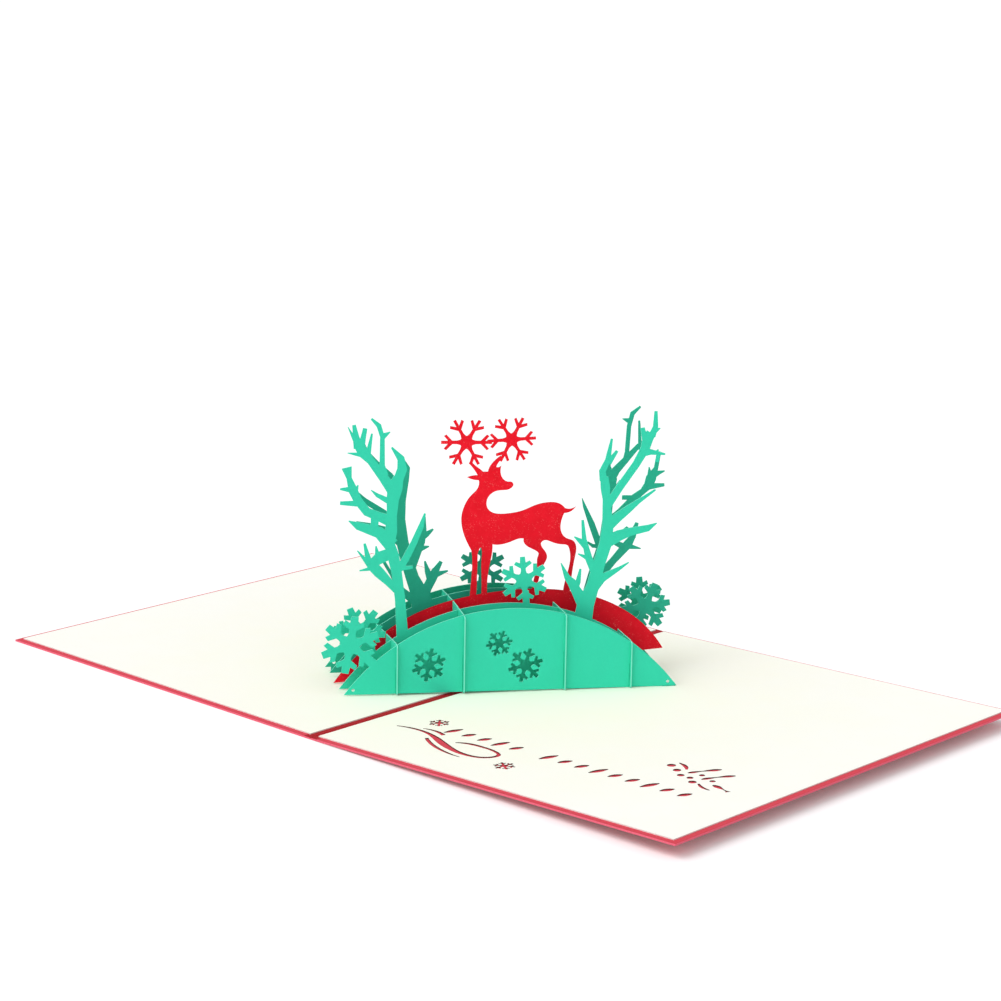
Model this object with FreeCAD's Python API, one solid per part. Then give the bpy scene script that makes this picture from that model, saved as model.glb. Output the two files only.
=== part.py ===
import FreeCAD, Part
import math
import os

# A pop-up greeting card, lying open. Sizes are millimetres, angles are degrees, Z is up.
# Each slice is drawn in its own plane: u runs along the slice, z is height above the card at the fold.

# card
PANEL_W = 125.0
CARD_D = 150.0
COVER_T = 0.5
LINER_T = 0.3
LINER_GAP = 1.25
LINER_LEFT_GAP = 1.9
LINER_MARGIN = 2.0
LINER_BACK_MARGIN = 1.15
LINER_LEFT_MARGIN = 1.3
PANEL_RISE = 0.87
CREASE_W = 0.5
CREASE_DEPTH = 0.15

# paper lattice that stands on the fold
PAPER_T = 0.3
SLOT_W = 0.5
LONG_DIR = 50.9
RIB_DIR = 148.2
LONG_STEP = 6.06
POP_X = 0.95
POP_Y = 0.4
BASE_Z = 0.65
HILL_LEFT = -48.1
HILL_RIGHT = 47.0
HILL_MID = -0.6
HILL_TOP = 24.6
BACK_LIFT = 1.2
RIB_EAR = 1.2
EAR_DIP = 0.6
RIB_FAR = 33.4
RIB_NEAR = 14.4
TAB_NEAR = 43.0
TAB_LENGTH = 3.4
TAB_DEPTH = 3.0
TAB_ROOT = 1.0
SLIT_GAP = 0.2
THREAD_HOLE_R = 0.45
THREAD_HOLE_IN = 2.6
THREAD_HOLE_UP = 1.3

# a length past everything that a cut has to go through
THROUGH = 60.0

# the deer's slice sits in its slots with its right end raised
DEER_LEFT = -48.3
DEER_RIGHT = 46.8
DEER_LIFT = 7.75

# each rib: place along the long slices, top height at the front, at the middle and at the back
RIBS = [
    (-RIB_FAR, 15.2, 14.8, 14.4),
    (-RIB_NEAR, 22.9, 24.0, 24.2),
    (RIB_NEAR, 22.8, 23.0, 23.2),
    (RIB_FAR, 14.3, 14.5, 14.6),
]

# limbs of the trees: places (u, z) down the middle of each limb, with its width there
LEFT_TREE = [
    [(-30.0, 12.0, 3.4), (-31.0, 26.5, 2.9), (-32.0, 34.0, 2.9), (-33.0, 39.0, 3.3), (-34.0, 42.5, 2.8),
     (-33.7, 46.0, 3.4), (-33.5, 50.5, 2.8), (-33.3, 55.0, 3.4), (-32.7, 58.5, 4.3), (-31.7, 61.5, 2.8)],
    [(-31.9, 60.5, 2.8), (-30.7, 63.8, 2.8), (-31.1, 66.8, 2.1), (-33.7, 70.0, 0.5)],
    [(-33.5, 58.0, 3.2), (-36.0, 61.5, 2.6), (-39.5, 66.3, 2.2), (-41.5, 68.5, 3.0), (-42.9, 70.8, 2.8)],
    [(-42.9, 70.0, 2.8), (-43.6, 73.0, 1.8), (-44.2, 76.5, 1.0)],
    [(-44.0, 72.3, 1.2), (-45.9, 76.0, 0.2)],
    [(-42.2, 70.0, 1.8), (-41.1, 75.5, 1.2)],
    [(-40.3, 68.0, 1.6), (-39.2, 74.0, 0.5)],
    [(-42.0, 68.0, 1.4), (-46.0, 68.6, 0.2)],
    [(-35.7, 62.0, 2.3), (-36.3, 65.0, 1.5), (-36.3, 73.0, 1.3), (-37.3, 76.2, 1.4), (-39.4, 78.2, 0.6)],
    [(-36.4, 73.0, 2.0), (-34.1, 74.4, 0.2)],
    [(-34.0, 54.5, 1.8), (-37.7, 56.5, 1.1), (-39.4, 58.0, 0.2)],
    [(-33.2, 48.7, 3.4), (-37.0, 50.3, 2.6), (-40.5, 51.8, 2.5), (-43.0, 55.0, 2.4), (-44.4, 58.0, 2.6),
     (-45.5, 61.5, 1.5), (-46.2, 64.5, 2.9)],
    [(-43.8, 57.0, 1.6), (-43.0, 59.5, 0.3)],
    [(-44.7, 58.2, 1.9), (-48.0, 58.4, 0.5)],
    [(-43.3, 54.2, 1.7), (-48.0, 54.4, 1.0)],
    [(-38.2, 51.5, 2.4), (-38.4, 46.0, 2.0)],
    [(-33.4, 42.0, 4.2), (-37.1, 45.8, 3.3), (-43.0, 47.8, 2.2), (-45.6, 49.3, 0.2)],
    [(-31.5, 28.5, 2.0), (-34.3, 31.5, 2.3), (-37.0, 34.3, 3.1), (-39.2, 36.6, 2.9)],
    [(-33.5, 39.8, 3.2), (-36.7, 38.6, 3.5), (-39.0, 36.8, 2.6)],
    [(-37.3, 38.5, 1.8), (-37.9, 41.9, 0.4)],
    [(-39.8, 37.2, 1.9), (-41.1, 42.7, 0.7)],
    [(-39.3, 36.0, 1.8), (-43.1, 40.7, 0.3)],
    [(-38.5, 35.6, 1.4), (-42.5, 34.9, 0.3)],
    [(-31.3, 35.0, 2.0), (-29.4, 38.3, 2.0), (-27.3, 42.5, 1.8), (-25.2, 47.5, 1.5), (-24.2, 51.0, 0.5)],
    [(-31.9, 35.2, 1.4), (-27.5, 35.6, 0.8)],
]
RIGHT_TREE = [
    [(20.8, 15.0, 5.6), (22.0, 23.5, 4.9), (24.0, 29.0, 3.7), (25.5, 35.0, 3.5), (27.3, 41.0, 3.6),
     (27.9, 46.5, 3.3), (27.2, 54.0, 2.0), (26.9, 57.3, 2.7), (26.5, 60.5, 2.3)],
    [(26.3, 59.5, 2.2), (25.9, 62.2, 1.9), (27.4, 65.4, 1.6), (28.4, 71.5, 0.6)],
    [(27.6, 64.5, 1.7), (30.0, 68.0, 0.8)],
    [(27.2, 51.5, 2.3), (31.0, 57.5, 2.2), (35.5, 64.0, 2.2), (38.0, 68.5, 2.6), (38.7, 71.5, 3.2),
     (39.6, 73.0, 2.8)],
    [(39.8, 72.0, 2.1), (40.8, 74.8, 1.5), (40.8, 79.2, 0.9)],
    [(40.5, 73.5, 1.7), (42.2, 74.3, 0.2)],
    [(37.9, 71.0, 1.7), (37.1, 74.5, 1.2)],
    [(37.7, 67.5, 2.6), (39.7, 67.5, 1.6), (43.8, 66.8, 0.5)],
    [(41.1, 67.1, 1.3), (41.8, 68.2, 0.3)],
    [(41.9, 66.8, 1.2), (41.4, 64.6, 1.0)],
    [(27.6, 46.0, 3.2), (30.4, 48.6, 2.8), (33.5, 51.0, 2.2), (36.5, 53.3, 1.3), (41.3, 56.6, 0.5)],
    [(28.0, 41.9, 3.6), (31.2, 43.5, 3.2), (34.3, 44.5, 2.4), (39.5, 45.5, 1.9), (42.0, 46.9, 0.2)],
    [(24.3, 28.9, 3.5), (26.6, 31.2, 2.5), (31.7, 34.0, 1.0), (34.2, 35.6, 0.3)],
    [(24.4, 33.0, 2.3), (22.7, 36.8, 2.1), (21.2, 42.4, 1.4), (20.6, 48.2, 0.7)],
    [(22.0, 40.0, 1.7), (20.3, 42.0, 1.6), (18.3, 43.4, 0.3)],
    [(23.0, 36.8, 1.7), (19.5, 38.4, 0.3)],
    [(21.4, 24.0, 4.0), (19.2, 27.7, 2.9), (17.8, 30.2, 2.5), (16.5, 31.7, 1.7), (14.7, 35.8, 0.3)],
    [(18.6, 27.8, 2.3), (19.7, 30.3, 1.5), (20.3, 34.0, 0.6)],
]
BACK_LEFT_TREE = [
    [(-21.0, 15.0, 6.6), (-21.4, 21.0, 6.6), (-22.6, 25.0, 4.9), (-24.5, 29.3, 3.8), (-26.0, 34.0, 3.6),
     (-27.5, 40.0, 3.5), (-28.1, 46.5, 2.8), (-28.0, 52.0, 2.8), (-26.9, 58.5, 2.4)],
    [(-27.0, 57.5, 2.4), (-26.6, 61.3, 2.3), (-28.5, 64.8, 1.4), (-30.5, 67.0, 0.3)],
    [(-28.0, 54.5, 2.6), (-31.0, 59.4, 1.4), (-35.0, 63.0, 1.4), (-38.0, 66.0, 1.7), (-39.1, 68.5, 1.7),
     (-38.4, 72.5, 1.2)],
    [(-27.6, 43.4, 2.4), (-32.8, 48.6, 1.7), (-38.5, 52.3, 1.6), (-40.5, 54.7, 0.6)],
    [(-27.4, 39.0, 2.4), (-32.2, 43.5, 2.0), (-36.7, 44.8, 1.7), (-40.7, 46.0, 0.6)],
    [(-25.0, 32.0, 2.6), (-22.1, 40.0, 2.3), (-21.5, 43.5, 1.8), (-21.1, 47.2, 0.4)],
    [(-22.3, 41.0, 2.2), (-20.5, 42.1, 1.6), (-18.7, 43.5, 0.5)],
    [(-23.1, 37.7, 2.3), (-19.8, 38.5, 0.3)],
    [(-22.5, 21.5, 2.6), (-27.5, 25.5, 2.2), (-30.6, 30.6, 1.0), (-32.7, 34.2, 0.9)],
    [(-21.8, 22.0, 3.6), (-20.3, 26.2, 2.7), (-18.7, 29.4, 2.7), (-17.6, 31.6, 2.4)],
    [(-19.2, 28.5, 2.3), (-20.2, 31.2, 1.6), (-21.0, 34.2, 0.5)],
    [(-18.3, 30.6, 2.3), (-16.3, 34.0, 1.0)],
    [(-18.3, 30.0, 2.0), (-14.3, 31.2, 0.4)],
]
BACK_RIGHT_TREE = [
    [(25.4, 10.0, 3.8), (26.2, 21.7, 3.6), (27.5, 27.2, 3.3), (29.0, 33.2, 3.0), (30.8, 39.2, 2.9),
     (31.4, 44.7, 2.7), (31.9, 51.0, 2.5), (32.7, 57.5, 2.9)],
    [(32.4, 57.2, 2.6), (31.3, 60.8, 1.8), (31.3, 63.6, 1.3), (31.8, 67.2, 0.5)],
    [(32.1, 57.0, 3.0), (33.8, 59.8, 2.4), (36.0, 62.2, 2.0), (40.3, 67.0, 1.3)],
    [(36.3, 62.0, 1.7), (36.8, 65.0, 1.3), (37.2, 72.5, 1.3), (38.1, 76.2, 1.4), (40.4, 78.2, 0.6)],
    [(37.4, 74.0, 1.8), (35.2, 74.7, 0.2)],
    [(40.6, 65.8, 1.2), (40.1, 74.1, 0.6)],
    [(39.8, 66.0, 1.7), (43.4, 69.0, 1.7), (44.9, 72.0, 1.1)],
    [(31.8, 50.7, 2.6), (33.3, 53.0, 2.0), (35.3, 56.7, 0.9)],
    [(32.0, 44.4, 2.7), (35.3, 47.5, 2.1), (39.5, 51.7, 2.2), (41.7, 53.4, 1.8), (43.2, 55.0, 2.6),
     (44.0, 57.2, 3.1), (45.4, 60.2, 1.3), (46.2, 65.0, 1.2)],
    [(35.7, 51.7, 1.3), (39.2, 51.6, 1.4)],
    [(43.6, 58.2, 1.4), (43.4, 60.5, 0.3)],
    [(44.3, 57.8, 2.0), (46.3, 58.8, 1.2), (48.0, 59.3, 0.3)],
    [(43.3, 54.8, 2.0), (48.0, 55.2, 0.9)],
    [(38.1, 50.9, 1.7), (39.4, 48.8, 0.9)],
    [(30.9, 38.8, 2.8), (35.9, 40.8, 2.1), (37.6, 43.0, 0.7)],
    [(38.9, 40.0, 2.3), (40.3, 44.2, 1.0)],
    [(28.4, 27.0, 2.4), (31.0, 30.0, 2.4), (33.6, 33.1, 2.1), (37.8, 37.9, 2.7), (39.5, 40.6, 1.4)],
    [(37.9, 37.3, 1.7), (41.6, 36.5, 0.3)],
    [(36.5, 37.2, 1.9), (34.3, 38.3, 1.5), (32.5, 39.6, 1.2)],
    [(29.8, 34.0, 2.2), (29.5, 37.5, 2.0), (27.0, 44.2, 1.8), (24.9, 49.2, 1.0), (24.1, 51.7, 0.2)],
    [(30.0, 37.4, 1.4), (27.5, 37.6, 1.1), (25.9, 38.8, 0.5)],
]

# the deer, round its outline: a stretch of two places is straight and a longer one is a smooth curve
DEER = [
    [(-9.6, 24.0), (-9.2, 30.3), (-9.0, 34.8), (-9.3, 38.5)],
    [(-9.3, 38.5), (-11.0, 41.9), (-12.1, 45.5), (-12.2, 49.0), (-11.3, 51.9), (-9.7, 54.4),
     (-7.9, 56.3), (-7.4, 57.6), (-7.5, 58.9)],
    [(-7.5, 58.9), (-9.1, 59.1), (-10.8, 59.8)],
    [(-10.8, 59.8), (-9.4, 60.2), (-7.8, 60.3)],
    [(-7.8, 60.3), (-9.1, 62.3), (-10.4, 63.8)],
    [(-10.4, 63.8), (-9.7, 64.6)],
    [(-9.7, 64.6), (-8.5, 63.1), (-7.3, 62.2), (-6.3, 61.3)],
    [(-6.3, 61.3), (-4.9, 61.3)],
    [(-4.9, 61.3), (-4.3, 62.9), (-3.1, 64.4), (-1.4, 65.8)],
    [(-1.4, 65.8), (-0.8, 65.0)],
    [(-0.8, 65.0), (-1.9, 64.0), (-2.6, 62.6)],
    [(-2.6, 62.6), (-1.9, 62.5), (-1.1, 63.0)],
    [(-1.1, 63.0), (-1.3, 60.9), (-0.5, 59.1), (0.9, 58.3), (1.9, 58.2), (2.4, 57.5), (1.9, 56.6),
     (0.7, 56.0), (-1.0, 55.9), (-3.2, 55.4), (-4.7, 54.0), (-5.2, 52.2), (-4.7, 50.5), (-3.3, 49.4),
     (-0.9, 49.0), (2.0, 49.2), (5.3, 49.9), (8.9, 51.4), (12.2, 52.1), (15.2, 51.9), (17.4, 50.3)],
    [(17.4, 50.3), (18.9, 50.1), (20.4, 50.7)],
    [(20.4, 50.7), (19.2, 49.5), (17.1, 48.9)],
    [(17.1, 48.9), (16.4, 46.9), (16.2, 44.3), (16.9, 42.5), (18.3, 41.4), (20.0, 40.7), (20.8, 39.0),
     (20.5, 36.0), (19.7, 30.7), (19.3, 23.0)],
    [(19.3, 23.0), (17.8, 23.0)],
    [(17.8, 23.0), (18.3, 30.8), (18.9, 38.2), (18.3, 39.4), (16.5, 39.8), (13.8, 40.5), (11.7, 41.1),
     (10.6, 40.3)],
    [(10.6, 40.3), (11.3, 38.6), (12.2, 37.3), (12.4, 35.8), (11.7, 34.3), (10.4, 30.6), (9.7, 23.0)],
    [(9.7, 23.0), (8.3, 23.0)],
    [(8.3, 23.0), (8.9, 30.2), (9.6, 34.4), (9.7, 36.0), (10.0, 37.2), (9.0, 38.2), (6.9, 39.3),
     (5.7, 40.6), (5.7, 41.7)],
    [(5.7, 41.7), (4.2, 41.7), (2.0, 40.9), (-0.4, 40.2), (-3.3, 40.2)],
    [(-3.3, 40.2), (-3.4, 37.5), (-4.1, 33.9), (-4.6, 30.0), (-4.5, 24.0)],
    [(-4.5, 24.0), (-6.4, 24.0)],
    [(-6.4, 24.0), (-6.3, 30.2), (-6.4, 35.5), (-6.3, 38.4), (-6.6, 39.4), (-7.2, 38.6), (-7.5, 36.8),
     (-7.6, 30.3), (-8.1, 24.0)],
    [(-8.1, 24.0), (-9.6, 24.0)],
]
DEER_HILL = [(-48.3, 0.65), (-42.0, 8.2), (-34.2, 14.9), (-26.3, 19.8), (-15.7, 23.8), (-2.0, 26.3),
             (13.1, 26.7), (24.0, 24.9), (33.3, 21.2), (40.4, 16.2), (46.8, 8.4)]

# snowflakes: u, z, arm length, turn
ANTLERS = [(-11.1, 69.8, 7.2, -1.0), (1.7, 70.4, 6.9, 3.0)]
FRONT_WINDOWS = [(-24.2, 8.7, 4.9, 20.0), (-4.3, 14.5, 3.8, 10.0), (3.3, 7.9, 5.0, 15.0)]
FRONT_FLAKE = (-46.4, 15.1, 8.3, 20.0)
BACK_FLAKE = (43.8, 18.1, 7.2, 33.0)
TREES_FRONT_FLAKE = (-42.4, 17.2, 7.4, 52.0)
TREES_BACK_FLAKE = (43.5, 18.1, 7.2, 8.0)
SMALL_FLAKE = (4.2, 31.0, 6.9, 35.0)
BACK_SMALL_FLAKE = (-4.5, 30.6, 6.9, 28.0)
SMALL_FLAKE_STEM = [(4.7, 28.0, 1.8), (5.3, 20.0, 2.0)]
BACK_SMALL_FLAKE_STEM = [(-4.6, 28.0, 1.8), (-4.8, 20.0, 2.0)]

# each end snowflake hangs on a short stem from the hill's slope
FRONT_STEM = [(-43.0, 12.5, 2.4), (-37.5, 7.0, 3.0)]
BACK_STEM = [(43.0, 17.0, 1.6), (41.0, 6.0, 2.2)]
TREES_FRONT_STEM = [(-41.0, 15.5, 1.8), (-37.0, 8.0, 2.4)]
TREES_BACK_STEM = [(43.0, 16.5, 1.6), (38.5, 8.0, 2.2)]

# snowflake proportions, as shares of the arm length: the core's radius, then half of an arm's outline
# (along the arm, across it) from its root past one prong to its tip
FINE = (0.26, [(0.20, 0.12), (0.36, 0.07), (0.56, 0.065), (0.80, 0.31), (0.89, 0.25), (0.73, 0.06),
               (1.0, 0.06)])
BOLD = (0.33, [(0.22, 0.16), (0.42, 0.10), (0.52, 0.105), (0.70, 0.37), (0.82, 0.29), (0.74, 0.12),
               (1.0, 0.10)])
WIDE = (0.33, [(0.24, 0.17), (0.42, 0.11), (0.52, 0.115), (0.68, 0.36), (0.84, 0.31), (0.76, 0.14),
               (1.0, 0.12)])


def vec(u, z):
    return FreeCAD.Vector(u, 0, z)


def polygon(places):
    pts = [vec(u, z) for u, z in places]
    return Part.Face(Part.makePolygon(pts + [pts[0]]))


def edge_through(places):
    pts = [vec(u, z) for u, z in places]
    if len(pts) == 2:
        return Part.makeLine(pts[0], pts[1])
    curve = Part.BSplineCurve()
    curve.interpolate(pts)
    return curve.toShape()


def outline(stretches):
    return Part.Face(Part.Wire([edge_through(s) for s in stretches]))


def hill():
    left = vec(HILL_LEFT, BASE_Z)
    right = vec(HILL_RIGHT, BASE_Z)
    arc = Part.Arc(left, vec(HILL_MID, HILL_TOP), right).toShape()
    return Part.Face(Part.Wire([arc, Part.makeLine(right, left)]))


def limb_sides(nodes):
    # the two sides of a tapered strip, set off from its middle line and square to it at every node
    one_side = []
    other_side = []
    last = len(nodes) - 1
    for i, (u, z, width) in enumerate(nodes):
        before = nodes[max(i - 1, 0)]
        after = nodes[min(i + 1, last)]
        run = math.hypot(after[0] - before[0], after[1] - before[1])
        off_u = -(after[1] - before[1]) / run * width / 2
        off_z = (after[0] - before[0]) / run * width / 2
        one_side.append((u + off_u, z + off_z))
        other_side.append((u - off_u, z - off_z))
    return one_side, other_side[::-1]


def limb(nodes):
    one_side, other_side = limb_sides(nodes)
    return polygon(one_side + other_side)


def stroke(nodes):
    one_side, other_side = limb_sides(nodes)
    ends = [one_side[-1], other_side[0]], [other_side[-1], one_side[0]]
    return outline([one_side, ends[0], other_side, ends[1]])


def disc(u, z, r):
    circle = Part.makeCircle(r, vec(u, z), FreeCAD.Vector(0, 1, 0))
    return Part.Face(Part.Wire([circle]))


def snowflake(u0, z0, arm, turn, style):
    # a round core and six arms, each a face of its own
    core, half = style
    whole = half + [(along, -across) for along, across in half[::-1]]
    faces = [disc(u0, z0, core * arm)]
    for k in range(6):
        a = math.radians(turn + 60 * k)
        places = []
        for along, across in whole:
            u = u0 + arm * (along * math.cos(a) - across * math.sin(a))
            z = z0 + arm * (along * math.sin(a) + across * math.cos(a))
            places.append((u, z))
        faces.append(polygon(places))
    return faces


def sheet(face):
    # paper of one thickness, half of it on each side of the drawn plane
    solid = face.extrude(FreeCAD.Vector(0, PAPER_T, 0))
    solid.translate(FreeCAD.Vector(0, -PAPER_T / 2, 0))
    return solid


def one_piece(shape):
    if len(shape.Solids) != 1:
        boxes = [(round(q.Volume, 2), q.BoundBox) for q in shape.Solids]
        raise ValueError("a slice must be one piece of paper: %s" % boxes)
    return shape.Solids[0]


def joined(faces):
    sheets = [sheet(face) for face in faces]
    if len(sheets) == 1:
        return sheets[0]
    return sheets[0].multiFuse(sheets[1:]).removeSplitter()


def box_face(u_low, u_high, z_low, z_high):
    return polygon([(u_low, z_low), (u_high, z_low), (u_high, z_high), (u_low, z_high)])


def rib_top(rib, w):
    u, front, middle, back = rib
    reach = 2 * LONG_STEP
    if w < 0:
        return middle + (front - middle) * -w / reach
    return middle + (back - middle) * w / reach


def deer_base(u):
    return BASE_Z + DEER_LIFT * (u - DEER_LEFT) / (DEER_RIGHT - DEER_LEFT)


def slice_lift(k):
    # the two back slices sit a little higher in their slots
    return BACK_LIFT if k < 0 else 0.0


def slot_height(rib, k):
    # half-lap: the long slice is cut from below up to here and the rib from above down to here
    base = deer_base(rib[0]) if k == 0 else BASE_Z + slice_lift(k)
    return (base + rib_top(rib, -k * LONG_STEP)) / 2


def slice_place(k):
    # k counts places from the middle slice: 2 is the front one and -2 the back one
    along = math.radians(RIB_DIR)
    step = k * LONG_STEP
    return FreeCAD.Vector(POP_X - step * math.cos(along), POP_Y - step * math.sin(along), slice_lift(k))


def long_slice(faces, cuts, k):
    solid = joined(faces)
    for rib in RIBS:
        u = rib[0]
        top = slot_height(rib, k) - slice_lift(k)
        cuts.append(box_face(u - SLOT_W / 2, u + SLOT_W / 2, -THROUGH, top))
    solid = one_piece(solid.cut([sheet(cut) for cut in cuts]))
    solid.rotate(FreeCAD.Vector(0, 0, 0), FreeCAD.Vector(0, 0, 1), LONG_DIR)
    solid.translate(slice_place(k))
    return solid


def rib_slice(rib):
    u = rib[0]
    reach = 2 * LONG_STEP
    end = reach + RIB_EAR
    top = [(-end, rib[1] - EAR_DIP), (-reach, rib[1]), (0, rib[2]), (reach, rib[3]), (end, rib[3] - EAR_DIP)]
    cuts = []
    for k in (2, 1, 0, -1, -2):
        w = -k * LONG_STEP
        cuts.append(box_face(w - SLOT_W / 2, w + SLOT_W / 2, slot_height(rib, k), THROUGH))
    solid = sheet(polygon([(end, BASE_Z), (-end, BASE_Z)] + top))
    solid = one_piece(solid.cut([sheet(cut) for cut in cuts]))
    solid.rotate(FreeCAD.Vector(0, 0, 0), FreeCAD.Vector(0, 0, 1), RIB_DIR)
    along = math.radians(LONG_DIR)
    solid.translate(FreeCAD.Vector(POP_X + u * math.cos(along), POP_Y + u * math.sin(along), 0))
    return solid


def panel_place(side, run, up):
    # a place on a panel: run is the distance from the fold and up is square to the panel
    a = math.radians(PANEL_RISE)
    return (side * (run * math.cos(a) - up * math.sin(a)), run * math.sin(a) + up * math.cos(a))


def prism(places, depth):
    solid = polygon(places).extrude(FreeCAD.Vector(0, depth, 0))
    solid.translate(FreeCAD.Vector(0, -depth / 2, 0))
    return solid


def make_cover():
    a = math.radians(PANEL_RISE)
    under = -LINER_T - COVER_T
    top = -LINER_T / math.cos(a)
    places = [
        panel_place(-1, PANEL_W, -LINER_T),
        panel_place(-1, CREASE_W / 2, -LINER_T),
        (0, top - CREASE_DEPTH),
        panel_place(1, CREASE_W / 2, -LINER_T),
        panel_place(1, PANEL_W, -LINER_T),
        panel_place(1, PANEL_W, under),
        (0, under / math.cos(a)),
        panel_place(-1, PANEL_W, under),
    ]
    return prism(places, CARD_D)


def below_cover():
    a = math.radians(PANEL_RISE)
    places = [
        panel_place(-1, PANEL_W, -LINER_T),
        (0, -LINER_T / math.cos(a)),
        panel_place(1, PANEL_W, -LINER_T),
        (PANEL_W, -THROUGH),
        (-PANEL_W, -THROUGH),
    ]
    return prism(places, CARD_D)


def flat_cutter(face):
    # a face drawn on the card: u is X and z is Y, cut straight down through the liner
    flat = face.copy()
    flat.rotate(FreeCAD.Vector(0, 0, 0), FreeCAD.Vector(1, 0, 0), -90)
    flat.translate(FreeCAD.Vector(0, 0, -THROUGH / 2))
    return flat.extrude(FreeCAD.Vector(0, 0, THROUGH))


def make_liner(side, gap, margin, cutters):
    # the white paper stands closer to the cover's back and left edges than to the other two
    places = [
        panel_place(side, gap, 0),
        panel_place(side, PANEL_W - margin, 0),
        panel_place(side, PANEL_W - margin, -LINER_T),
        panel_place(side, gap, -LINER_T),
    ]
    solid = prism(places, CARD_D - LINER_MARGIN - LINER_BACK_MARGIN)
    solid.translate(FreeCAD.Vector(0, (LINER_MARGIN - LINER_BACK_MARGIN) / 2, 0))
    return one_piece(solid.cut(cutters))


def tab_slit(side, k):
    slit = Part.makeBox(TAB_LENGTH + 2 * SLIT_GAP, PAPER_T + 2 * SLIT_GAP, THROUGH)
    slit.translate(FreeCAD.Vector(TAB_NEAR - SLIT_GAP, -PAPER_T / 2 - SLIT_GAP, -THROUGH / 2))
    if side < 0:
        slit.rotate(FreeCAD.Vector(0, 0, 0), FreeCAD.Vector(0, 0, 1), 180)
    slit.rotate(FreeCAD.Vector(0, 0, 0), FreeCAD.Vector(0, 0, 1), LONG_DIR)
    slit.translate(slice_place(k))
    return slit


# liner ornament: a swirl, two snowflakes, a row of plain slanted leaves and a twig, all cut through
SWIRL = [
    [(10.0, -52.0, 0.5), (14.3, -50.8, 0.9), (21.3, -51.3, 1.3), (28.5, -54.4, 2.3), (35.5, -57.3, 1.9),
     (42.5, -58.2, 1.3), (47.0, -56.2, 1.2), (48.0, -53.0, 1.2), (44.8, -50.9, 1.0), (39.8, -50.3, 1.1),
     (35.2, -50.7, 1.2), (32.0, -52.3, 0.5)],
    [(17.0, -48.9, 0.4), (21.3, -48.4, 1.0), (25.2, -49.6, 1.3)],
    [(23.6, -54.6, 1.0), (30.6, -58.6, 1.1), (36.4, -60.3, 0.8), (41.5, -60.8, 0.3)],
]
LINER_FLAKES = [(16.7, -42.3, 3.0, 10.0), (55.0, -58.4, 3.0, 25.0)]
LEAF_ROW_START = 24.5
LEAF_ROW_END = 104.0
LEAF_ROW_Y = -45.0
LEAF_COUNT = 15
LEAF_GAP_AT = 5
LEAF_TALL = 5.8
LEAF_SHORT = 4.0
LEAF_W = 2.0
LEAF_TIP_W = 0.3
LEAF_LEAN = 1.8
TWIG = [
    [(86.6, -25.4, 0.4), (89.6, -26.6, 1.2), (91.6, -28.6, 0.5)],
    [(93.6, -30.6, 0.5), (94.3, -28.9, 1.4), (95.3, -27.0, 0.6), (96.4, -25.2, 1.4), (98.2, -22.3, 0.4)],
    [(99.4, -32.4, 0.5), (100.2, -30.4, 1.4), (101.2, -28.4, 0.6), (102.3, -26.6, 1.4), (104.0, -24.0, 0.4)],
    [(101.0, -35.6, 0.5), (103.4, -37.3, 1.0), (106.4, -37.9, 0.4)],
    [(104.4, -34.0, 0.5), (106.3, -34.4, 1.7), (108.3, -35.0, 0.6), (110.6, -35.8, 1.7)],
]
TWIG_DOTS = [
    (86.4, -28.4, 1.2),
    (90.0, -30.6, 1.1),
    (93.3, -33.2, 1.0),
    (96.4, -33.3, 0.9),
    (99.0, -35.6, 1.1),
    (97.4, -29.6, 0.8),
    (102.4, -31.6, 0.8),
]


def leaf_row():
    leaves = []
    step = (LEAF_ROW_END - LEAF_ROW_START) / (LEAF_COUNT - 1)
    for i in range(LEAF_COUNT):
        if i == LEAF_GAP_AT:
            continue
        x = LEAF_ROW_START + i * step
        tall = LEAF_TALL if i % 3 == 0 else LEAF_SHORT
        low = LEAF_ROW_Y - tall / 2
        leaves.append([
            (x - LEAF_LEAN / 2, low, LEAF_TIP_W),
            (x, LEAF_ROW_Y, LEAF_W),
            (x + LEAF_LEAN / 2, low + tall, LEAF_TIP_W),
        ])
    return leaves


def make_right_liner():
    cutters = [tab_slit(1, 2)]
    for nodes in SWIRL + leaf_row() + TWIG:
        cutters.append(flat_cutter(stroke(nodes)))
    for x, y, arm, turn in LINER_FLAKES:
        cutters += [flat_cutter(face) for face in snowflake(x, y, arm, turn, BOLD)]
    for x, y, r in TWIG_DOTS:
        cutters.append(flat_cutter(disc(x, y, r)))
    return make_liner(1, LINER_GAP, LINER_MARGIN, cutters)


def tab(side):
    low, high = sorted((side * TAB_NEAR, side * (TAB_NEAR + TAB_LENGTH)))
    return box_face(low, high, -TAB_DEPTH, BASE_Z + TAB_ROOT)


def thread_holes():
    height = BASE_Z + THREAD_HOLE_UP
    return [disc(u, height, THREAD_HOLE_R) for u in (HILL_LEFT + THREAD_HOLE_IN, HILL_RIGHT - THREAD_HOLE_IN)]


def make_deer_slice():
    base = [(DEER_RIGHT, deer_base(DEER_RIGHT)), (DEER_LEFT, deer_base(DEER_LEFT))]
    faces = [outline([DEER_HILL, base]), outline(DEER)]
    for flake in ANTLERS:
        faces += snowflake(*flake, FINE)
    return long_slice(faces, [], 0)


def lowered(nodes, drop):
    return [(u, z - drop, width) for u, z, width in nodes]


def make_trees_slice(k, trees, stems, small, end):
    # the trees' heights are above the card, so a back slice's lift comes off them
    faces = [hill()] + [limb(lowered(nodes, slice_lift(k))) for nodes in trees]
    faces += [limb(nodes) for nodes in stems]
    faces += snowflake(*small, BOLD) + snowflake(*end, WIDE)
    return long_slice(faces, [], k)


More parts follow.
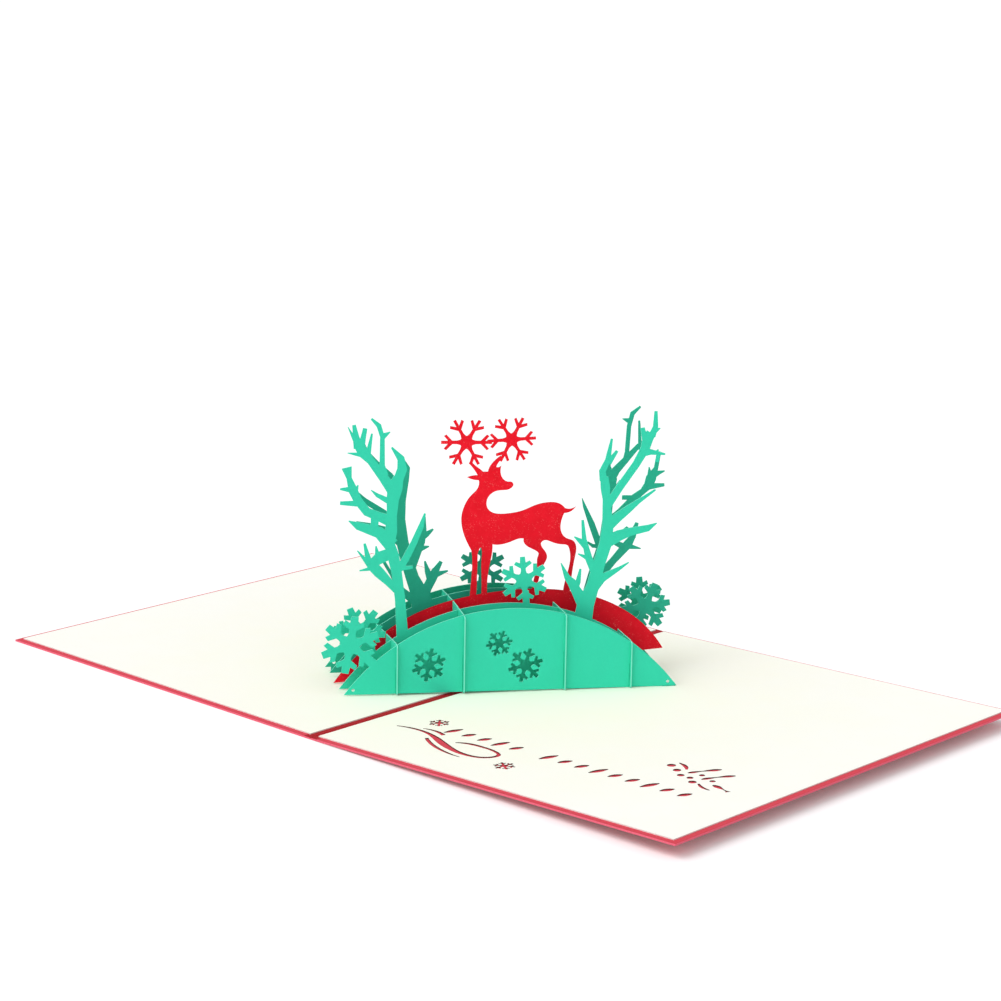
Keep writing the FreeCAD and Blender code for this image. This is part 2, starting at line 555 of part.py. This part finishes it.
def make_hill_slice(k, stem, end):
    # the windows of the back one are those of the front one, turned half round
    side = 1 if k > 0 else -1
    faces = [hill(), tab(side), limb(stem)] + snowflake(*end, WIDE)
    cuts = thread_holes()
    for u, z, arm, turn in FRONT_WINDOWS:
        cuts += snowflake(side * u, z, arm, turn, BOLD)
    return one_piece(long_slice(faces, cuts, k).cut(below_cover()))


front_trees = LEFT_TREE + RIGHT_TREE
front_stems = [SMALL_FLAKE_STEM, TREES_FRONT_STEM]
back_trees = BACK_LEFT_TREE + BACK_RIGHT_TREE
back_stems = [BACK_SMALL_FLAKE_STEM, TREES_BACK_STEM]

shapes = {
    "cover": make_cover(),
    "liner_left": make_liner(-1, LINER_LEFT_GAP, LINER_LEFT_MARGIN, [tab_slit(-1, -2)]),
    "liner_right": make_right_liner(),
    "hill_front": make_hill_slice(2, FRONT_STEM, FRONT_FLAKE),
    "trees_front": make_trees_slice(1, front_trees, front_stems, SMALL_FLAKE, TREES_FRONT_FLAKE),
    "deer": make_deer_slice(),
    "trees_back": make_trees_slice(-1, back_trees, back_stems, BACK_SMALL_FLAKE, TREES_BACK_FLAKE),
    "hill_back": make_hill_slice(-2, BACK_STEM, BACK_FLAKE),
}
for number, rib in enumerate(RIBS, 1):
    shapes["rib_%d" % number] = rib_slice(rib)

# the open card rests on its left panel, so everything leans until that panel is level
for shape in shapes.values():
    shape.rotate(FreeCAD.Vector(0, 0, 0), FreeCAD.Vector(0, 1, 0), -PANEL_RISE)
cover_box = shapes["cover"].BoundBox
shift = FreeCAD.Vector(-(cover_box.XMin + cover_box.XMax) / 2, 0, -cover_box.ZMin)
os.makedirs("parts", exist_ok=True)
for name, shape in shapes.items():
    shape.translate(shift)
    print(name, "solids", len(shape.Solids), "valid", shape.isValid(), "volume", round(shape.Volume, 2))
    shape.exportStep("parts/" + name + ".step")
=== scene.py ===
import math
import bpy
from mathutils import Matrix, Vector

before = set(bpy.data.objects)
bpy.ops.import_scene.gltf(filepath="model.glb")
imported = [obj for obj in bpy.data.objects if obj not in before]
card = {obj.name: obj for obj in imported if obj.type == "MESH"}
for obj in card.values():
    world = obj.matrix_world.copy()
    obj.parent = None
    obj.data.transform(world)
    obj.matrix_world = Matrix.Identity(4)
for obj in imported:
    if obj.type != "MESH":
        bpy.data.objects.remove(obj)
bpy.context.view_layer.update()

# An open pop-up greeting card. Sizes are metres and angles are degrees.
MM = 0.001

# which way the long slices and the ribs run
LONG_DIR = 50.9
RIB_DIR = 148.2

# view: the eye's place is in millimetres of the card's frame
LENS = 102.17
SENSOR = 36.0
EYE = (518.556, -581.523, 242.961)
LOOK = (-0.64747, 0.7246, -0.23607)
UPWARD = (-0.17836, 0.15708, 0.97134)
NEAREST = 0.01

# light: each sun is the way its light travels, its strength and how wide it looks
WORLD_LIGHT = 0.50
KEY_WAY = (0.30, 0.58, -0.76)
KEY_STRENGTH = 1.62
KEY_WIDTH = 42.0
FILL_WAY = (-0.50, 0.52, -0.70)
FILL_STRENGTH = 0.66
FILL_WIDTH = 70.0

# colours, as plain linear shares
RED_CARD = (0.70, 0.060, 0.090)
RED_CARD_EDGE = (0.74, 0.120, 0.180)
# painted shade: the cover's strip along the fold is coloured darker for the shade in the crease
RED_CARD_FOLD_SHADE = (0.42, 0.008, 0.016)
IVORY = (0.990, 0.985, 0.940)
# the deeper ivory serves both the paper's random clouds and the painted reflection near the pop-up
IVORY_DEEP_AND_BOUNCE = (0.985, 0.970, 0.820)
BURNT = (0.085, 0.028, 0.018)
PALE_EDGE = (0.78, 0.76, 0.74)
GREEN = (0.034, 0.700, 0.455)
# painted shade: a darker copy of the green for the slices' and ribs' sides that are painted as shaded
GREEN_PAINTED_SHADE = (0.020, 0.470, 0.300)
GREEN_EDGE = (0.24, 0.86, 0.66)
GLITTER_RED = (0.930, 0.007, 0.024)
GLITTER_DEEP = (0.760, 0.002, 0.010)
GLITTER_EDGE = (0.300, 0.003, 0.010)
# painted glint: the light colour that glitter grains take where they flash
GLITTER_PAINTED_GLINT = (1.0, 0.22, 0.20)
FLOOR = (0.97, 0.97, 0.98)
FLOOR_GLOW = 0.08
FLOOR_SIZE = 12.0

# how much darker or lighter a colour is in its patches
MARGIN_SHADE = 0.85
EDGE_SHADE = 1.12
FRONT_SHADE = 0.90
BACK_SHADE = 0.88

# how fine each paper's fibres and clouds are, as noise scales
CARD_FIBRE = 900.0
CARD_CLOUD = 45.0
LINER_FIBRE = 1400.0
LINER_CLOUD = 70.0
GREEN_FIBRE = 1600.0
GREEN_CLOUD = 90.0
LAID_STRETCH = (900.0, 900.0, 120.0)
GLITTER_GRAIN = 5200.0
GLITTER_PATCH = 330.0
GLITTER_CLOUD = 260.0

# the part of a noise that fades from one colour to the other
FIBRE_SPREAD = (0.35, 0.65)
WIDE_SPREAD = (0.3, 0.7)
CLOUD_SPREAD = (0.35, 0.70)
PATCH_SPREAD = (0.40, 0.62)
FLASH_SPREAD = (0.90, 1.0)

# a face is a sheet's flat side, not its cut edge, where it looks this squarely along the sheet's way
FLAT_SIDE = 0.5

# painted reflection: the white paper is tinted creamy for light bounced off the pop-up, fully within the
# first distance of the card's middle and plain past the second
BOUNCE_TINT_FULL = 45.0 * MM
BOUNCE_TINT_GONE = 120.0 * MM

# half the width of the fold's strip of bare cover, painted darker as the shade in the crease, and half the
# card's depth
FOLD_HALF = 2.4 * MM
CARD_HALF = 75.0 * MM

# a liner's burnt cuts lie between these distances from the fold, and the first one inside the card's ends
CUTS_FROM = 4.0 * MM
CUTS_TO = 118.0 * MM


class Value:
    # a socket of a material, so that its maths reads as a plain expression
    def __init__(self, finish, socket):
        self.finish = finish
        self.socket = socket

    def __add__(self, other):
        return self.finish.maths("ADD", self, other)

    def __sub__(self, other):
        return self.finish.maths("SUBTRACT", self, other)

    def __rsub__(self, other):
        return self.finish.maths("SUBTRACT", other, self)

    def __mul__(self, other):
        return self.finish.maths("MULTIPLY", self, other)

    def __gt__(self, other):
        return self.finish.maths("GREATER_THAN", self, other)

    def __lt__(self, other):
        return self.finish.maths("LESS_THAN", self, other)

    __radd__ = __add__
    __rmul__ = __mul__


class Finish:
    # one material and the nodes that make it
    def __init__(self, name):
        self.material = bpy.data.materials.new(name)
        self.material.use_nodes = True
        self.tree = self.material.node_tree
        self.shader = self.tree.nodes["Principled BSDF"]
        self.output = self.tree.nodes["Material Output"]
        self.place = self.node("ShaderNodeTexCoord", out="Object")

    def node(self, kind, settings=None, sockets=None, out=0):
        made = self.tree.nodes.new(kind)
        for key, setting in (settings or {}).items():
            setattr(made, key, setting)
        self.fill(made, sockets or {})
        return Value(self, made.outputs[out])

    def fill(self, made, sockets):
        for key, content in sockets.items():
            socket = made.inputs[key]
            if isinstance(content, Value):
                self.tree.links.new(content.socket, socket)
            elif socket.type == "RGBA" and len(content) == 3:
                socket.default_value = (*content, 1.0)
            else:
                socket.default_value = content

    def maths(self, operation, first, second):
        return self.node("ShaderNodeMath", {"operation": operation}, {0: first, 1: second})

    def mix(self, share, first, second):
        return self.node("ShaderNodeMix", {"data_type": "RGBA"}, {0: share, 6: first, 7: second}, out=2)

    def noise(self, scale, detail, roughness, place=None):
        sockets = {"Vector": place or self.place, "Scale": scale, "Detail": detail, "Roughness": roughness}
        return self.node("ShaderNodeTexNoise", {}, sockets, out="Fac")

    def stretched(self, turn, stretch):
        # Object places turned about Z and stretched, for fibres that run one way
        sockets = {"Vector": self.place, "Rotation": (0.0, 0.0, math.radians(turn)), "Scale": stretch}
        return self.node("ShaderNodeMapping", {}, sockets, out="Vector")

    def across(self, spread, value):
        low, high = spread
        return self.node("ShaderNodeMapRange", {}, {"Value": value, "From Min": low, "From Max": high})

    def unsigned(self, value):
        return self.maths("ABSOLUTE", value, 0.0)

    def toward(self, way):
        # how squarely a face looks along a way, from 1 down to -1 where it looks back
        normal = self.node("ShaderNodeNewGeometry", out="True Normal")
        dot = {"operation": "DOT_PRODUCT"}
        return self.node("ShaderNodeVectorMath", dot, {0: normal, 1: way}, out="Value")

    def facing(self, way):
        # the same from 0 to 1, on either side of the sheet
        return self.unsigned(self.toward(way))

    def along(self, axis):
        return self.node("ShaderNodeSeparateXYZ", {}, {"Vector": self.place}, out=axis)

    def bump(self, height, strength, distance):
        sockets = {"Height": height, "Strength": strength, "Distance": distance}
        return self.node("ShaderNodeBump", {}, sockets, out="Normal")

    def finish(self, sockets):
        self.fill(self.shader, sockets)
        return self.material


def shade(colour, share):
    return tuple(share * part for part in colour)


def direction(degrees):
    angle = math.radians(degrees)
    return (math.cos(angle), math.sin(angle), 0.0)


# the card's faces look up, and a slice's faces look square to the way it runs
UP = (0.0, 0.0, 1.0)
LONG_FRONT = direction(LONG_DIR - 90)
LONG_BACK = direction(LONG_DIR + 90)
RIB_LEFT = direction(RIB_DIR + 90)


def red_card():
    paint = Finish("red_card")
    fibre = paint.noise(CARD_FIBRE, detail=6.0, roughness=0.7)
    cloud = paint.noise(CARD_CLOUD, detail=3.0, roughness=0.55)
    flat = paint.facing(UP) > FLAT_SIDE
    from_fold = paint.unsigned(paint.along("X"))
    margin = paint.mix(paint.across(FIBRE_SPREAD, fibre) * 0.35, RED_CARD, shade(RED_CARD, MARGIN_SHADE))
    # painted shade: the strip along the fold takes the darker fold colour
    face = paint.mix(from_fold < FOLD_HALF, margin, RED_CARD_FOLD_SHADE)
    edge = paint.mix(paint.across(WIDE_SPREAD, fibre), RED_CARD_EDGE, shade(RED_CARD_EDGE, EDGE_SHADE))
    return paint.finish({
        "Base Color": paint.mix(flat, edge, face),
        "Roughness": fibre * 0.12 + 0.62,
        "Specular IOR Level": 0.2,
        "Normal": paint.bump(fibre * 0.7 + cloud * 0.3, strength=0.35, distance=0.12 * MM),
    })


def ivory_paper():
    # white paper: its ornament was cut by a laser, which burnt the walls of each cut brown
    paint = Finish("ivory_paper")
    fibre = paint.noise(LINER_FIBRE, detail=5.0, roughness=0.7)
    cloud = paint.noise(LINER_CLOUD, detail=4.0, roughness=0.6)
    from_middle = paint.node("ShaderNodeVectorMath", {"operation": "LENGTH"}, {0: paint.place}, out="Value")
    # painted reflection: a creamy tint near the pop-up stands in for light bounced off it, added to the
    # paper's random tone
    painted_bounce = 1.0 - paint.across((BOUNCE_TINT_FULL, BOUNCE_TINT_GONE), from_middle)
    tone = paint.across(CLOUD_SPREAD, cloud) * 0.2 + paint.across(FIBRE_SPREAD, fibre) * 0.1 + painted_bounce * 0.6
    flat = paint.facing(UP) > FLAT_SIDE
    off_fold = (paint.along("X") > CUTS_FROM) * (paint.along("X") < CUTS_TO)
    off_edge = paint.unsigned(paint.along("Y")) < CARD_HALF - CUTS_FROM
    wall = paint.mix(off_fold * off_edge, PALE_EDGE, BURNT)
    return paint.finish({
        "Base Color": paint.mix(flat, wall, paint.mix(tone, IVORY, IVORY_DEEP_AND_BOUNCE)),
        "Roughness": paint.across(WIDE_SPREAD, fibre) * 0.1 + 0.66,
        "Specular IOR Level": 0.15,
        "Normal": paint.bump(fibre * 0.5 + cloud * 0.5, strength=0.22, distance=0.08 * MM),
    })


def coloured_paper(name, lit_way):
    # thin green paper with painted shade: its side that looks along the lit way is bright and its other
    # side takes a darker copy of the green; its cut edges catch the light
    paint = Finish(name)
    fibre = paint.noise(GREEN_FIBRE, detail=5.0, roughness=0.7)
    cloud = paint.noise(GREEN_CLOUD, detail=4.0, roughness=0.6)
    laid = paint.noise(1.0, detail=3.0, roughness=0.6, place=paint.stretched(LONG_DIR, LAID_STRETCH))
    tone = paint.across(CLOUD_SPREAD, cloud) * 0.3 + paint.across(FIBRE_SPREAD, fibre) * 0.3
    front = paint.mix(tone, GREEN, shade(GREEN, FRONT_SHADE))
    # painted shade: the darker copy for the sheet's side that looks away from the lit way
    back = paint.mix(tone, GREEN_PAINTED_SHADE, shade(GREEN_PAINTED_SHADE, BACK_SHADE))
    face = paint.mix(paint.toward(lit_way) > 0.0, back, front)
    return paint.finish({
        "Base Color": paint.mix(paint.facing(lit_way) > FLAT_SIDE, GREEN_EDGE, face),
        "Roughness": paint.across(WIDE_SPREAD, laid) * 0.14 + 0.50,
        "Specular IOR Level": 0.2,
        "Normal": paint.bump(fibre * 0.6 + laid * 0.4, strength=0.25, distance=0.06 * MM),
    })


def glitter_paper():
    # red paper under a very fine coat of glitter: each grain tilts its own way, and a few of them flash as
    # painted glints, light specks in the colour
    paint = Finish("glitter_paper")
    sockets = {"Vector": paint.place, "Scale": GLITTER_GRAIN}
    grain = paint.node("ShaderNodeTexVoronoi", {}, sockets, out="Color")
    tilt = paint.node("ShaderNodeSeparateColor", {}, {"Color": grain})
    flash = paint.across(FLASH_SPREAD, tilt)
    patch = paint.across(PATCH_SPREAD, paint.noise(GLITTER_PATCH, detail=3.0, roughness=0.6))
    cloud = paint.noise(GLITTER_CLOUD, detail=4.0, roughness=0.7)
    base = paint.mix(paint.across(WIDE_SPREAD, cloud) * 0.5, GLITTER_RED, GLITTER_DEEP)
    # painted glints: the flashing grains get the light speck colour
    face = paint.mix(flash * patch * 0.6, base, GLITTER_PAINTED_GLINT)
    return paint.finish({
        "Base Color": paint.mix(paint.facing(LONG_FRONT) > FLAT_SIDE, GLITTER_EDGE, face),
        "Roughness": 0.55 - flash * 0.2,
        "Specular IOR Level": 0.12,
        "Normal": paint.bump(tilt, strength=0.3, distance=0.04 * MM),
    })


def dress(names, material):
    for name in names:
        sheet = card[name]
        for slot in sheet.material_slots:
            slot.material = material


def floor_finish():
    paint = Finish("floor")
    seen = paint.node("ShaderNodeLightPath", out="Is Camera Ray")
    glow = paint.node("ShaderNodeEmission", {}, {"Color": (1.0, 1.0, 1.0), "Strength": seen * FLOOR_GLOW})
    paint.finish({"Base Color": FLOOR, "Roughness": 0.9, "Specular IOR Level": 0.1})
    shaded = Value(paint, paint.shader.outputs["BSDF"])
    both = paint.node("ShaderNodeAddShader", {}, {0: shaded, 1: glow})
    paint.tree.links.new(both.socket, paint.output.inputs["Surface"])
    return paint.material


def make_floor():
    bpy.ops.object.select_all(action="DESELECT")
    bpy.ops.mesh.primitive_plane_add(size=FLOOR_SIZE, location=(0.0, 0.0, 0.0))
    floor = bpy.context.object
    floor.name = "floor"
    floor.data.materials.append(floor_finish())


def make_camera():
    lens = bpy.data.cameras.new("view")
    lens.lens = LENS
    lens.sensor_width = SENSOR
    lens.sensor_fit = "HORIZONTAL"
    lens.clip_start = NEAREST
    camera = bpy.data.objects.new("view", lens)
    bpy.context.scene.collection.objects.link(camera)
    back = -Vector(LOOK).normalized()
    right = Vector(UPWARD).cross(back).normalized()
    up = back.cross(right)
    turn = Matrix((right, up, back)).transposed().to_4x4()
    camera.matrix_world = Matrix.Translation(Vector(EYE) * MM) @ turn
    bpy.context.scene.camera = camera


def soft_sun(name, way, strength, width):
    lamp = bpy.data.lights.new(name, "SUN")
    lamp.energy = strength
    lamp.angle = math.radians(width)
    holder = bpy.data.objects.new(name, lamp)
    bpy.context.scene.collection.objects.link(holder)
    holder.rotation_euler = Vector(way).to_track_quat("-Z", "Y").to_euler()


def make_lights():
    world = bpy.data.worlds.new("studio")
    bpy.context.scene.world = world
    world.use_nodes = True
    backdrop = world.node_tree.nodes["Background"]
    seen = world.node_tree.nodes.new("ShaderNodeLightPath").outputs["Is Camera Ray"]
    level = world.node_tree.nodes.new("ShaderNodeMix")
    level.inputs[2].default_value = WORLD_LIGHT
    level.inputs[3].default_value = 1.0
    world.node_tree.links.new(seen, level.inputs[0])
    world.node_tree.links.new(level.outputs[0], backdrop.inputs["Strength"])
    backdrop.inputs["Color"].default_value = (1.0, 1.0, 1.0, 1.0)
    soft_sun("key", KEY_WAY, KEY_STRENGTH, KEY_WIDTH)
    soft_sun("fill", FILL_WAY, FILL_STRENGTH, FILL_WIDTH)


dress(["cover"], red_card())
dress(["liner_left", "liner_right"], ivory_paper())
# each green sheet is painted lit on the side that looks along the given way and painted shaded on its other
# side
dress(["hill_front", "trees_front"], coloured_paper("green_front_paper", LONG_FRONT))
dress(["trees_back", "hill_back"], coloured_paper("green_back_paper", LONG_BACK))
dress(["rib_1", "rib_2", "rib_3", "rib_4"], coloured_paper("green_rib_paper", RIB_LEFT))
dress(["deer"], glitter_paper())
make_floor()
make_camera()
make_lights()
bpy.context.scene.view_settings.view_transform = "Standard"
